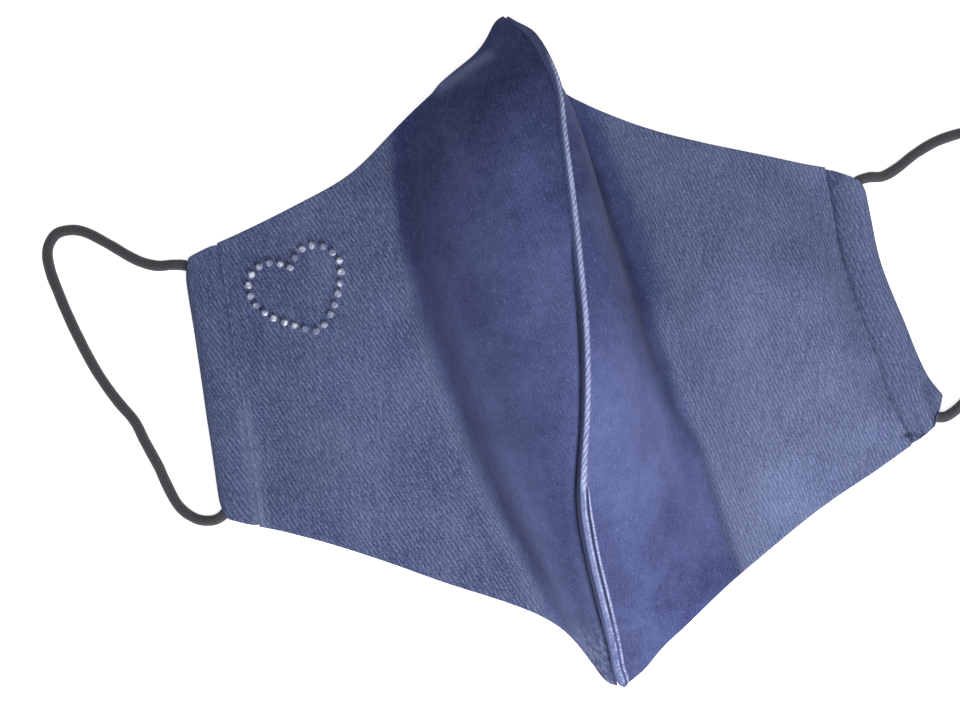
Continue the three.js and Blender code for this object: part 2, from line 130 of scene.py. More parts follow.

# Stretches between nose and chin over which a form, wear, painted light or painted shade comes in:
# the height on the mask where it begins and the height where it is full, in millimetres
STRETCHES = {
    "sunk_seam": (30, 10),
    "dark_seam": (30, 0),
    "worn_chin": (-62, -80),
    "painted_highlight_strip": (-36, -60),
    "shaded_chin": (-18, -42),
    "soft_foot": (40, 5),
    "parted_lips": (-30.5, -33.5),
    "plain_tip": (68, 75),
    "ragged_chin": (-60, -72),
    "dark_ridge_foot": (28, 4),
    "lit_ridge": (78, 25),
    "lit_flank": (8, 34),
    "nose_tuck": (79.5, 85.5),
    "chin_tuck": (-79, -84),
}
NOSE_TUCK = (-0.3 * MM, -1.0 * MM, 0)
CHIN_TUCK = (0.2 * MM, 0.3 * MM, 0)

# The painted shade along the valley beside the raised middle, which runs further in at one height
VALLEY_WIDTH = 1.6 * MM
VALLEY_SHIFT = 3.0 * MM
SHIFTED_AT = -17 * MM
SHIFTED_OVER = 8 * MM

# Light: how bright the surroundings and the table are, and each softbox's name, place, size and
# power
WORLD_STRENGTH = 0.38
TABLE_GLOW = 0.66
TABLE_HALF_SIZE = 15.0
SOFTBOXES = (
    ("front_softbox", (0.12, -0.36, 0.36), 0.2, 3.1),
    ("top_softbox", (0.2, -0.1, 1.2), 0.7, 3.6),
)

# Lines where the raised middle of the mask meets its flat sides, from chin to nose, in millimetres
LEFT_FOOT = (
    (-14, -68), (-19, -51), (-26, -31), (-32, -8),
    (-36, 11), (-38.5, 30), (-38.5, 46), (-37, 63),
)
RIGHT_FOOT = ((35, -63), (33, -50), (30.5, -31), (25, -6), (19.5, 19), (15, 42), (8.5, 68))

# Where the cloth is drawn out into its round nose, chin and hems: place and reach on the table,
# and how far it moves, in millimetres
PULLS = (
    {"place": (-5, 84), "reach": 5, "move": (-1.1, 1.1, 0)},
    {"place": (-13, 77), "reach": 7, "move": (1.0, -1.0, 0)},
    {"place": (-22, 69), "reach": 7, "move": (0.5, -0.5, 0)},
    {"place": (7, 73), "reach": 9, "move": (-0.7, -0.1, 0)},
    {"place": (-7, -76), "reach": 7, "move": (0.9, -0.4, 0)},
    {"place": (-1, -85), "reach": 5, "move": (0.5, -0.3, 0)},
    {"place": (12, -77), "reach": 6, "move": (-0.9, 0.3, 0)},
    {"place": (74, -42), "reach": 14, "move": (0.4, -0.9, 0)},
    {"place": (-45, -60), "reach": 34, "move": (0, -0.6, 0)},
    {"place": (48, -56), "reach": 34, "move": (0.3, -0.6, 0)},
)

# Routes of the elastics, from the top mouth of a casing to its bottom one, in millimetres
LEFT_ROUTE = [
    (-91.6, 25, 2.9), (-91.6, 29.6, 2.9), (-92.3, 33.7, 2.9), (-94.6, 37, 2.75),
    (-98.5, 38.1, 2.2), (-103.3, 38.6, 1.6), (-108.4, 41, 1.45), (-115.9, 46.9, 1.45),
    (-120.5, 50.1, 1.45), (-124.6, 51.2, 1.45), (-128.4, 50.4, 1.45), (-130.8, 46.8, 1.45),
    (-130.9, 41.5, 1.45), (-129.1, 33.3, 1.45), (-127.2, 26.3, 1.45), (-124.9, 19.2, 1.45),
    (-121.9, 11.6, 1.45), (-118.4, 4.8, 1.45), (-114.9, -0.9, 1.45), (-112.7, -7.2, 1.45),
    (-110.4, -13.6, 1.45), (-108.5, -20, 1.45), (-106.3, -25.2, 1.45), (-102.6, -28.6, 1.6),
    (-98.6, -29.6, 2.2), (-95.4, -28.6, 2.7), (-93.2, -26, 2.85), (-92.1, -22.3, 2.85),
    (-91.6, -17.5, 2.85),
]
RIGHT_ROUTE = [
    (80.3, 14, 2.9), (79.4, 20, 2.9), (79.2, 25.5, 2.9), (79.4, 30, 2.9), (81.2, 33, 2.75),
    (84.6, 33.8, 2.2), (88.6, 33.6, 1.6), (93, 35.3, 1.45), (98.4, 38.4, 1.45),
    (104.8, 40.8, 1.45), (112.6, 41.8, 1.45), (120, 40.4, 1.45), (126, 36, 1.45), (129, 29, 1.45),
    (129.4, 20, 1.45), (127.8, 9.5, 1.45), (124.4, -1.2, 1.45), (119, -11.6, 1.45),
    (112.4, -19.6, 1.45), (105.6, -25, 1.45), (101.2, -28, 1.6), (97.8, -30.1, 2.2),
    (95, -31.1, 2.75), (92.4, -30.4, 2.9), (90.7, -27.8, 2.9), (89.6, -24, 2.9),
    (88.5, -19.8, 2.9), (87.2, -15.2, 2.9),
]

# What differs between the halves. In millimetres are the corners, which say how far the casing's
# cloth reaches out over the elastic's ways in, the heights between which the seam's edge is rounded
# and those where the crown is painted lighter as painted light, the depth of the groove beside the
# seam, each crease's two ends, width and how far it stands out, and each patch's middle and reach,
# which its strength follows: the shades are painted shade, the other patches painted light. In
# metres are the foot, the slope and the flat sizes of the cut cloths. What changes from nose to
# chin is a function of the height. The crown and the slope light are painted light; the dark seam,
# the dark foot, the shaded chin and the casing shade are painted shade; the strip beside the seam
# at the chin is a painted highlight; and on the right the raised middle's darker copy of the denim,
# a painted shade, reaches further out in its upper part.
LEFT = {
    "outward": -1,
    "foot": [Vector((*point, 0)) * MM for point in LEFT_FOOT],
    "corners": {"bottom": 4.2, "top": 5.1},
    "rounded": (-66, 26),
    "smooth_beyond": lambda y: 0.0,
    "casing_crispness": 1.0,
    "crown": lambda y: 0.52 * between(y, 72 * MM, 15 * MM),
    "crown_heights": (16, 40),
    "slope_light": lambda y: (
        0.62 * between(y, 42 * MM, 18 * MM) - 0.12 * between(y, -26 * MM, -40 * MM)
    ),
    "slope_middle": lambda y: (
        2.2 * MM + 2 * MM * between(y, -50 * MM, -20 * MM) + 1.3 * MM * between(y, -8 * MM, 14 * MM)
    ),
    "slope_reach": 6.5 * MM,
    "shades": [((-9, 66), 20, 0.3), ((-41, 54), 6, 0.3)],
    "painted_light_patches": [((-45.7, -10.7), 22, 0.17), ((-27, 46), 7, 0.2)],
    "casing_shade": 0.16,
    "seam_groove": 0.5,
    "dark_seam": 0.9,
    "painted_highlight_strip": 0.1,
    "worn_chin": 1.0,
    "shaded_chin": 0.55,
    "dark_foot": 0.0,
    "stitch_pull": lambda y: 0.1 + 0.3 * between(y, 8 * MM, -8 * MM),
    "worn_stitches": lambda y: 0.22 * between(y, 8 * MM, -8 * MM),
    "creases": [
        {"start": (-23.7, 70.6), "end": (-9.6, 76), "width": 1.6, "depth": 0.7},
    ],
    "flat": (0.125, 0.19),
    "area": 0.0127,
    "casing_flat": (0.026, 0.066),
}
RIGHT = {
    "outward": 1,
    "foot": [Vector((*point, 0)) * MM for point in RIGHT_FOOT],
    "corners": {"bottom": 2.4, "top": 2.2},
    "rounded": (0, 0),
    "smooth_beyond": lambda y: 6 * MM * between(y, -4 * MM, 20 * MM),
    "casing_crispness": 0.85,
    "crown": lambda y: (
        between(y, 15 * MM, -15 * MM) * (0.65 - 0.45 * between(y, -25 * MM, -50 * MM))
    ),
    "crown_heights": (6, 24),
    "slope_light": lambda y: (
        0.5 * between(y, -4 * MM, -20 * MM) * between(y, -60 * MM, -46 * MM)
    ),
    "slope_middle": lambda y: 6 * MM,
    "slope_reach": 5 * MM,
    "shades": [((14, 44), 15, 0.42), ((24, 20), 10, 0.16)],
    "painted_light_patches": [((43.5, -45), 16, 0.3)],
    "casing_shade": 0.08,
    "seam_groove": 0.0,
    "dark_seam": 0.0,
    "painted_highlight_strip": 0.0,
    "worn_chin": 0.1,
    "shaded_chin": 0.3,
    "dark_foot": 0.5,
    "stitch_pull": lambda y: 0.15 + 0.5 * between(y, 22 * MM, 34 * MM),
    "worn_stitches": lambda y: 0.0,
    "creases": [
        {"start": (82.4, -33.7), "end": (88.3, -33.2), "width": 0.5, "depth": -0.6},
        {"start": (88.0, -33), "end": (85.4, -25.9), "width": 0.7, "depth": -0.35},
        {"start": (90.5, -20), "end": (92.4, -31.4), "width": 1.1, "depth": -0.8},
        {"start": (75.3, 38), "end": (75.5, 33), "width": 0.9, "depth": -0.35},
    ],
    "flat": (0.125, 0.19),
    "area": 0.0127,
    "casing_flat": (0.026, 0.066),
}


class Wire:
    """A socket with the operators of arithmetic, each of which adds a Math node."""

    def __init__(self, finish, socket):
        self.finish = finish
        self.socket = socket

    def maths(self, operation, *values):
        return self.finish.add("ShaderNodeMath", {"operation": operation}, *values)

    def __add__(self, other):
        return self.maths("ADD", self, other)

    def __radd__(self, other):
        return self.maths("ADD", other, self)

    def __sub__(self, other):
        return self.maths("SUBTRACT", self, other)

    def __rsub__(self, other):
        return self.maths("SUBTRACT", other, self)

    def __mul__(self, other):
        return self.maths("MULTIPLY", self, other)

    def __rmul__(self, other):
        return self.maths("MULTIPLY", other, self)

    def __truediv__(self, other):
        return self.maths("DIVIDE", self, other)

    def __rtruediv__(self, other):
        return self.maths("DIVIDE", other, self)

    def __abs__(self):
        return self.maths("ABSOLUTE", self)

    def wave(self):
        """0 to 1 and back once for each whole step of the wire."""
        return 0.5 + 0.5 * self.maths("SINE", self * (2 * math.pi))

    def whole(self):
        return self.maths("FLOOR", self)

    def rest(self):
        return self.maths("FRACT", self)

    def ramp(self, low, high):
        """0 below low, 1 above high and smooth between them."""
        settings = {"interpolation_type": "SMOOTHSTEP"}
        return self.finish.add("ShaderNodeMapRange", settings, self, low, high, 0.0, 1.0)


class Finish:
    """A material whose Principled shader takes numbers, colours and wires."""

    def __init__(self, name, **constants):
        self.material = bpy.data.materials.new(name)
        self.material.use_nodes = True
        self.tree = self.material.node_tree
        self.shader = self.tree.nodes["Principled BSDF"]
        for socket, value in constants.items():
            self.shader.inputs[socket.replace("_", " ")].default_value = value

    def add(self, kind, settings, *values, output=0, **named):
        """A node with its settings, then its sockets in their order or by name."""
        node = self.tree.nodes.new(kind)
        for name, value in settings.items():
            setattr(node, name, value)
        for socket, value in zip(node.inputs, values):
            self.feed(socket, value)
        for name, value in named.items():
            self.feed(node.inputs[name.replace("_", " ")], value)
        return Wire(self, node.outputs[output])

    def feed(self, socket, value):
        if isinstance(value, Wire):
            self.tree.links.new(value.socket, socket)
        else:
            socket.default_value = value

    def place(self, output="Object"):
        return self.add("ShaderNodeTexCoord", {}, output=output)

    def parts(self, vector):
        node = self.add("ShaderNodeSeparateXYZ", {}, vector).socket.node
        return [Wire(self, output) for output in node.outputs]

    def vector(self, x, y, z=0.0):
        return self.add("ShaderNodeCombineXYZ", {}, x, y, z)

    def painted(self, name):
        """A value that the piece's mesh carries at each point."""
        return self.add("ShaderNodeAttribute", {"attribute_name": name}, output="Fac")

    def cloud(self, vector, scale, detail=2.0):
        """Soft noise, mostly from 0.3 to 0.7."""
        return self.add("ShaderNodeTexNoise", {}, Vector=vector, Scale=scale, Detail=detail)

    def mix(self, share, first, second):
        """A colour mixed from two by a share."""
        node = self.tree.nodes.new("ShaderNodeMix")
        node.data_type = "RGBA"
        colours = [socket for socket in node.inputs if socket.type == "RGBA"]
        self.feed(node.inputs["Factor"], share)
        self.feed(colours[0], first)
        self.feed(colours[1], second)
        return Wire(self, next(socket for socket in node.outputs if socket.type == "RGBA"))

    def bump(self, height, distance, strength=1.0):
        values = {"Height": height, "Distance": distance, "Strength": strength}
        return self.add("ShaderNodeBump", {}, output="Normal", **values)

    def surface(self, **values):
        for name, value in values.items():
            self.feed(self.shader.inputs[name.replace("_", " ")], value)
        return self.material


def denim_finish(name, lean, painted_light_level):
    """Indigo denim: a 3/1 twill whose pale weft shows in diagonal lines, paler where it is worn,
    with painted light and painted shade in its colour.
    """
    finish = Finish(name, Roughness=0.95, Specular_IOR_Level=0.08, Sheen_Weight=0.02)
    body = finish.place()
    u, v, _ = finish.parts(finish.place("UV"))

    warp = lean - math.atan(WARP_STEP / WEFT_STEP)
    flat = finish.vector(u, v)
    drift = (finish.cloud(flat, 90.0, 1.0) - 0.5) * (1.2 * MM)
    jitter = (finish.cloud(flat, 900.0, 1.0) - 0.5) * (0.18 * MM)
    across = (u * math.sin(warp) - v * math.cos(warp) + drift + jitter) / WARP_STEP
    along = (u * math.cos(warp) + v * math.sin(warp) + drift - jitter) / WEFT_STEP
    yarn = across.whole()
    pick = ((along + yarn) / 4).rest() * 4
    weft = 1 - abs(abs(pick - 1.5) - 2).ramp(0.5, 1.5)
    round_yarn = 1 - abs(across.rest() - 0.5).ramp(0.18, 0.5) * 0.55

    lines_across = v * math.cos(lean) - u * math.sin(lean)
    lines_along = u * math.cos(lean) + v * math.sin(lean)
    dash = finish.cloud(finish.vector(lines_across * 1500.0, lines_along * 600.0), 1.0, 1.5)
    slub = finish.cloud(finish.vector(yarn * 0.61, along * 0.05), 1.0, 1.0)
    mottle = finish.cloud(body, 70.0, 3.0)
    blotch = finish.cloud(body, 380.0, 2.0)
    speck = finish.cloud(body, 1500.0, 2.0)

    # raised: the raised middle, painted in a darker, bluer copy of the denim as painted shade, with
    # less weave
    raised = finish.painted("raised")
    # crown: painted light on the crown and slopes of the raised middle and in patches
    crown = finish.painted("crown")
    plain = 1 - raised * 0.7
    # Pale wear, with painted highlight beside the seam at the chin and partly on standing creases
    wear = finish.painted("wear")
    # dark: painted shade beside the seam, in valleys, creases and at the chin, and on sideways
    # edges
    dark = finish.painted("dark")

    grain = finish.cloud(flat, 2300.0, 2.0) - 0.5
    weave = weft * (0.12 + dash.ramp(0.3, 0.7) * 0.36) + dash * 0.3 + slub.ramp(0.3, 0.7) * 0.2
    fleck = speck.ramp(0.6, 0.76) * (0.3 + raised * 0.25)
    tone = weave * round_yarn * plain + grain * (1.3 - raised * 0.5) + fleck
    tone = tone + raised * (0.1 + (blotch - 0.5) * 0.4) + crown * 0.6
    tone = tone + (mottle - 0.5) * (0.5 + raised * 0.2) + wear * (0.6 + dash * 0.8)
    # The raised middle's darker, bluer colours are painted shade
    indigo = finish.mix(raised, (0.033, 0.045, 0.112, 1), (0.022, 0.029, 0.09, 1))
    pale = finish.mix(raised, (0.18, 0.215, 0.36, 1), (0.115, 0.14, 0.31, 1))
    # The finish's last argument makes the whole denim lighter or darker, less on the raised middle:
    # painted light
    colour = finish.mix(tone * 0.95 + painted_light_level * (1 - raised * 0.6), indigo, pale)
    colour = finish.mix(wear * 0.55, colour, (0.3, 0.35, 0.47, 1))
    # Painted shade
    colour = finish.mix(dark * 0.75, colour, (0.012, 0.016, 0.04, 1))
    height = round_yarn * (1 - weft * 0.5) * plain + speck * 0.25
    return finish.surface(Base_Color=colour, Normal=finish.bump(height, 0.16 * MM, 0.7))


def seam_finish():
    """The seam's ridge, worn pale, with the twill running over it like the strands of a rope."""
    finish = Finish("seam", Roughness=0.95, Specular_IOR_Level=0.1, Sheen_Weight=0.03)
    body = finish.place()
    strand = finish.painted("strand")
    worn = finish.painted("wear")
    dark = finish.painted("dark")
    lit = finish.painted("lit")
    fuzz = finish.cloud(body, 1600.0, 2.0)
    patch = finish.cloud(body, 160.0, 2.0)
    tone = worn * (0.35 + strand * 0.75 + (fuzz - 0.5) * 1.5 + (patch - 0.5) * 0.8)
    # lit: painted light, which makes the ridge's cloth lighter below the nose and on its left flank
    cloth = finish.mix(lit, (0.03, 0.038, 0.1, 1), (0.12, 0.143, 0.31, 1))
    colour = finish.mix(tone, cloth, (0.33, 0.37, 0.56, 1))
    # Painted shade in the groove between the lips and at the ridge's left foot
    colour = finish.mix(dark * 0.9, colour, (0.012, 0.016, 0.04, 1))
    normal = finish.bump(fuzz, 0.12 * MM, 0.6)
    return finish.surface(Base_Color=colour, Normal=normal)


def thread_finish():
    """Sewing thread of the cloth's own colour, twisted."""
    finish = Finish("thread", Roughness=0.75)
    x, y, _ = finish.parts(finish.place())
    twist = ((x + y) / (0.3 * MM)).wave()
    colour = finish.mix(twist, (0.09, 0.112, 0.2, 1), (0.19, 0.225, 0.35, 1))
    return finish.surface(Base_Color=colour, Normal=finish.bump(twist, 0.05 * MM, 0.5))


def elastic_finish():
    """Knitted round elastic: fine ribs that wind round it, near black."""
    finish = Finish("elastic", Roughness=0.9, Sheen_Weight=0.2, Sheen_Roughness=0.5)
    along, turn, _ = finish.parts(finish.place("UV"))
    rib = (along / (0.55 * MM) + turn * 3).wave()
    cross_rib = (along / (0.8 * MM) - turn * 6).wave()
    knit = rib * 0.6 + cross_rib * 0.4
    fuzz = finish.cloud(finish.place(), 2600.0, 3.0)
    tone = (knit * 0.6 + fuzz * 0.5).ramp(0.1, 0.95)
    colour = finish.mix(tone, (0.012, 0.012, 0.015, 1), (0.05, 0.05, 0.06, 1))
    return finish.surface(Base_Color=colour, Normal=finish.bump(knit + fuzz * 0.4, 0.18 * MM, 0.8))


def stone_finish():
    """Small foil-backed glass stones, with painted highlights: glints painted near white into their
    colour, so some of them look duller than others.
    """
    finish = Finish("stone", Metallic=0.25, Roughness=0.12, Coat_Weight=0.3, Coat_Roughness=0.05)
    body = finish.place()
    cloudy = finish.cloud(body, 2200.0, 2.0)
    # Painted glints: spots where the stones' colour is painted near white
    glint = finish.cloud(body, 1100.0, 1.0).ramp(0.45, 0.65)
    bright = finish.cloud(body, 420.0, 0.0).ramp(0.42, 0.66) * (0.25 + glint * 0.8)
    colour = finish.mix(bright, (0.19, 0.22, 0.34, 1), (0.85, 0.88, 1.0, 1))
    rough = 0.08 + cloudy.ramp(0.4, 0.8) * 0.35
    normal = finish.bump(cloudy, 0.02 * MM, 0.3)
    return finish.surface(Base_Color=colour, Roughness=rough, Normal=normal)


def camera():
    data = bpy.data.cameras.new("camera")
    data.lens = CAMERA_LENS
    data.sensor_width = 36
    data.clip_start = 0.01
    view = bpy.data.objects.new("camera", data)
    view.location = CAMERA_PLACE
    view.rotation_euler = (0, 0, -CAMERA_LEAN)
    bpy.context.collection.objects.link(view)
    bpy.context.scene.camera = view


def linked(name, bm):
    """An object of a bmesh, with smooth shading."""
    mesh = bpy.data.meshes.new(name)
    bm.to_mesh(mesh)
    bm.free()
    mesh.shade_smooth()
    piece = bpy.data.objects.new(name, mesh)
    bpy.context.collection.objects.link(piece)
    return piece


def fit_out(piece, material, slot, *nodes):
    """Gives a piece its finish and its place in the mask."""
    piece.data.materials.clear()
    piece.data.materials.append(material)
    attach(piece, "root")
    if nodes:
        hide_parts(*nodes)


def smooth_route(points, step):
    """Points about a step apart on one smooth curve through the route's points."""
    route = [Vector(point) * MM for point in points]
    fine = []
    for i in range(len(route) - 1):
        before = route[max(i - 1, 0)]
        start, end = route[i], route[i + 1]
        after = route[min(i + 2, len(route) - 1)]
        count = max(2, math.ceil((end - start).length / step))
        handles = start + (end - before) / 6, end - (after - start) / 6
        fine += interpolate_bezier(start, *handles, end, count + 1)[:-1]
    return fine + [route[-1]]


def tube(bm, line, radius, sides):
    """A round tube drawn along a line, which maps its length and its turn."""
    turn_of = bm.verts.layers.int.new("turn")
    along_of = bm.verts.layers.float.new("along")
    ahead = (line[1] - line[0]).normalized()
    turned = Vector((0, 0, 1)).rotation_difference(ahead).to_matrix().to_4x4()
    start = Matrix.Translation(line[0]) @ turned
    ring = bmesh.ops.create_circle(
        bm, cap_ends=True, radius=radius, segments=sides, matrix=start
    )["verts"]
    for turn, vert in enumerate(ring):
        vert[turn_of] = turn
    edges = list(bm.edges)
    travelled = 0.0
    for i in range(1, len(line)):
        new = bmesh.ops.extrude_edge_only(bm, edges=edges)["geom"]
        ring = [item for item in new if isinstance(item, bmesh.types.BMVert)]
        edges = [item for item in new if isinstance(item, bmesh.types.BMEdge)]
        edges = [edge for edge in edges if len(edge.link_faces) == 1]
        travelled += (line[i] - line[i - 1]).length
        bmesh.ops.translate(bm, verts=ring, vec=line[i] - line[i - 1])
        onward = (line[min(i + 1, len(line) - 1)] - line[i - 1]).normalized()
        bend = ahead.rotation_difference(onward).to_matrix()
        bmesh.ops.rotate(bm, verts=ring, cent=line[i], matrix=bend)
        ahead = onward
        for vert in ring:
            vert[along_of] = travelled
    bmesh.ops.contextual_create(bm, geom=edges)
    bmesh.ops.recalc_face_normals(bm, faces=bm.faces)
    layer = bm.loops.layers.uv.new("weave")
    for face in bm.faces:
        turns = [vert[turn_of] for vert in face.verts]
        wraps = max(turns) - min(turns) > 1
        for loop in face.loops:
            turn = loop.vert[turn_of]
            turn += sides if wraps and turn == 0 else 0
            loop[layer].uv = (loop.vert[along_of], turn / sides)
    return travelled


def ear_loop(name, node, route, material):
    line = smooth_route(route, ELASTIC_STEP)
    bm = bmesh.new()
    length = tube(bm, line, ELASTIC_DIAMETER / 2, ELASTIC_SIDES)
    bm.normal_update()
    for vert in bm.verts:
        vert.co += vert.normal * noise.noise(vert.co * ELASTIC_LUMPS) * ELASTIC_UNEVEN
    loop = linked(name, bm)
    fit_out(loop, material, "elastic", node)


def skin_of(node):
    """A CAD node's skin, its corners merged and crisp, its triangles joined into larger faces."""
    bm = bmesh.new()
    bm.from_mesh(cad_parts[node].data)
    bmesh.ops.remove_doubles(bm, verts=bm.verts, dist=SAME_CORNER)
    bmesh.ops.join_triangles(
        bm, faces=bm.faces, angle_face_threshold=math.pi, angle_shape_threshold=math.pi
    )
    bm.normal_update()
    sharp = bm.verts.layers.float.new("crease_vert")
    for vert in bm.verts:
        vert[sharp] = 1.0 if len(vert.link_edges) == 3 else 0.0
    return bm


def tree_of(node):
    """A tree that finds the nearest spot on a CAD node."""
    bm = skin_of(node)
    tree = BVHTree.FromBMesh(bm)
    bm.free()
    return tree


def meet(bm, neighbour, overlap, rounded=(0, 0)):
    """Draws the edge beside a neighbour on to it, crisp except where it is rounded."""
    creases = bm.edges.layers.float.get("crease_edge") or bm.edges.layers.float.new("crease_edge")
    beside = set()
    for vert in bm.verts:
        spot, _, _, distance = neighbour.find_nearest(vert.co, BESIDE)
        if spot is not None:
            vert.co += (spot - vert.co).normalized() * (distance + overlap)
            beside.add(vert)
    edges = {edge for edge in bm.edges if edge.verts[0] in beside and edge.verts[1] in beside}
    low, high = rounded
    for edge in edges:
        if not low * MM < (edge.verts[0].co.y + edge.verts[1].co.y) / 2 < high * MM:
            edge[creases] = 1.0
    return edges


def unwrap(piece):
    """Lays a cloth's skin out flat, cut along its edges, in metres and turned as it lies."""
    bm = bmesh.new()
    bm.from_mesh(piece.data)
    for edge in bm.edges:
        edge.seam = len(edge.link_faces) == 2 and edge.calc_face_angle() > FOLDED_EDGE
    bm.to_mesh(piece.data)
    bm.free()
    bpy.ops.object.select_all(action="DESELECT")
    bpy.context.view_layer.objects.active = piece
    piece.select_set(True)
    bpy.ops.object.mode_set(mode="EDIT")
    bpy.ops.mesh.select_all(action="SELECT")
    bpy.ops.uv.unwrap(method="ANGLE_BASED", margin=0.01)
    bpy.ops.object.mode_set(mode="OBJECT")

    # The flat part of the face-up skin says how the map is turned and scaled
    mesh = piece.data
    layer = mesh.uv_layers.active.data
    pairs = []
    for face in mesh.polygons:
        if face.normal.z > LYING_FLAT and face.center.z > FACE_UP_FROM:
            for corner in face.loop_indices:
                uv = layer[corner].uv
                spot = mesh.vertices[mesh.loops[corner].vertex_index].co
                pairs.append((complex(uv.x, uv.y), complex(spot.x, spot.y)))
    middle_map = sum(on_map for on_map, _ in pairs) / len(pairs)
    middle = sum(spot for _, spot in pairs) / len(pairs)
    turn = sum((spot - middle) * (on_map - middle_map).conjugate() for on_map, spot in pairs)
    turn /= sum(abs(on_map - middle_map) ** 2 for on_map, _ in pairs)
    for corner in layer:
        laid = (complex(corner.uv.x, corner.uv.y) - middle_map) * turn + middle
        corner.uv = (laid.real, laid.imag)


def roll_out(piece, line, outward):
    """Maps a casing in metres, its cloth laid flat outwards from the stitches over the fold."""
    mesh = piece.data
    top = max(vert.co.z for vert in mesh.vertices)
    layer = mesh.uv_layers.new(name="weave").data
    for corner, loop in zip(layer, mesh.loops):
        spot = mesh.vertices[loop.vertex_index].co
        beyond = outward * (spot.x - line_at(line, spot.y)) > CASING_CREST
        corner.uv = (spot.x + outward * (top - spot.z if beyond else 0.0), spot.y)


def spread(patches, spot):
    """How strongly soft round patches show at a place; each has its middle, reach and strength."""
    share = 0.0
    for middle, reach, strength in patches:
        share += strength * hump((spot.to_2d() - Vector(middle) * MM).length, 0, reach * MM)
    return share


def refined(piece, levels):
    """Smooths a piece's cage by subdivision and keeps the result as its mesh."""
    smooth = piece.modifiers.new("smooth", "SUBSURF")
    smooth.levels = smooth.render_levels = levels
    evaluated = piece.evaluated_get(bpy.context.evaluated_depsgraph_get())
    mesh = bpy.data.meshes.new_from_object(evaluated)
    piece.modifiers.clear()
    piece.data = mesh
    mesh.shade_smooth()
    mesh.set_sharp_from_angle(angle=CRISP_EDGE)


def between(value, low, high):
    """0 at low, 1 at high and smooth between them, whichever is the larger."""
    share = min(max((value - low) / (high - low), 0.0), 1.0)
    return share * share * (3 - 2 * share)


def hump(value, middle, reach, power=2):
    """1 at the middle, falling off to both sides; a higher power makes its top flatter."""
    return math.exp(-(abs((value - middle) / reach) ** power))


def stitched_line(casing, panel):
    """The casing's stitched edge, from its bottom to its top, as points."""
    bm = skin_of(casing)
    tree = tree_of(panel)
    upper = [vert.co.copy() for vert in bm.verts if vert.co.z > CLOTH_THICKNESS]
    bm.free()
    line = [point for point in upper if tree.find_nearest(point, BESIDE)[0] is not None]
    return sorted(line, key=lambda point: point.y)


def line_at(line, y):
    """How far out a stitched line runs at a height."""
    for low, high in zip(line, line[1:]):
        if y <= high.y:
            share = (y - low.y) / (high.y - low.y)
            return low.x + (high.x - low.x) * share
    return line[-1].x


def over(stretch, spot):
    """How far a named stretch of the mask has come in at a place."""
    begins, full = STRETCHES[stretch]
    return between(spot.y, begins * MM, full * MM)


def crease_depth(creases, spot):
    """How far the cloth stands out at a place, or is pressed in, by its creases."""
    depth = 0.0
    here = spot.to_2d()
    for crease in creases:
        start = Vector(crease["start"]) * MM
        run = Vector(crease["end"]) * MM - start
        share = (here - start).dot(run) / run.length_squared
        away = here - start - run * min(max(share, 0.0), 1.0)
        widths = away.length / (crease["width"] * MM)
        if widths < CREASE_REACH:
            fade = between(share, -CREASE_FADE, CREASE_FADE)
            fade *= between(share, 1 + CREASE_FADE, 1 - CREASE_FADE)
            depth += crease["depth"] * MM * fade * hump(widths, 0, 1)
    return depth


def sewn_relief(spot, line, strength):
    """The groove along a line of stitches, and the puckers beside it."""
    away = abs(spot.x - line_at(line, spot.y))
    uneven = noise.noise(Vector((spot.y * 90, 0.3, line[0].x * 50)))
    ripple = math.sin(2 * math.pi * spot.y / PUCKER_STEP + 5 * uneven)
    puckers = PUCKER_HEIGHT * (0.4 + strength) * ripple * math.exp(-away / PUCKER_REACH)
    return puckers - GROOVE_DEPTH * strength * hump(away, 0, GROOVE_WIDTH)


def undulation(spot):
    """The cloth's slow and quick unevenness."""
    return sum(
        height * noise.noise(Vector((spot.x, spot.y, layer)) * waves)
        for height, waves, layer in UNEVENNESS
    )


def pulled(spot):
    """How far the cloth is drawn out at a place."""
    move = Vector((0, 0, 0))
    for pull in PULLS:
        away = (spot.to_2d() - Vector(pull["place"]) * MM).length
        move += Vector(pull["move"]) * MM * hump(away, 0, pull["reach"] * MM)
    return move


def inward(side, spot):
    """How far a place lies in from the foot of the mask's raised middle, towards the seam."""
    return side["outward"] * (line_at(side["foot"], spot.y) - spot.x)


def raised_share(side, spot):
    """1 on the raised middle of the mask and 0 on its flat side."""
    beyond = side["smooth_beyond"](spot.y)
    soft = (1.3 + 1.7 * over("soft_foot", spot)) * MM + 0.3 * beyond
    return between(inward(side, spot) + beyond, -soft, soft)


def sewn_lift(side, line, spot):
    """How far the cloth stands out at a place, by its waves, stitches and creases."""
    lift = undulation(spot) + sewn_relief(spot, line, side["stitch_pull"](spot.y))
    return lift + crease_depth(side["creases"], spot)


def sewn_wear(side, line, spot):
    """How pale the cloth is worn beside its stitches."""
    beside = hump(spot.x, line_at(line, spot.y), WORN_BESIDE_STITCHES)
    return beside * side["worn_stitches"](spot.y)


def pressed_shade(side, spot):
    """How dark a crease is that is pressed in."""
    return 0.5 * max(-crease_depth(side["creases"], spot) / MM, 0.0)


def paint_layers(mesh, names):
    """New values that a mesh carries at each point, by their names."""
    for name in names:
        mesh.attributes.new(name, "FLOAT", "POINT")
    return {name: mesh.attributes[name].data for name in names}


def shape_cloth(piece, relief, **paints):
    """Moves the outer face of a cloth by its relief and paints its points by their places."""
    mesh = piece.data
    layers = paint_layers(mesh, paints)
    normals = [vert.normal.copy() for vert in mesh.vertices]
    for i, vert in enumerate(mesh.vertices):
        outer = between(normals[i].z, 0.0, 0.3)
        spot = vert.co.copy()
        for name, paint in paints.items():
            layers[name][i].value = min(max(paint(spot), 0.0), 1.0) * outer
        # Painted shade on the cloth's sideways-facing edges
        layers["dark"][i].value += EDGE_SHADE * hump(normals[i].z, 0.0, 0.35) * (1 - outer)
        vert.co += normals[i] * relief(spot) * outer + pulled(spot)


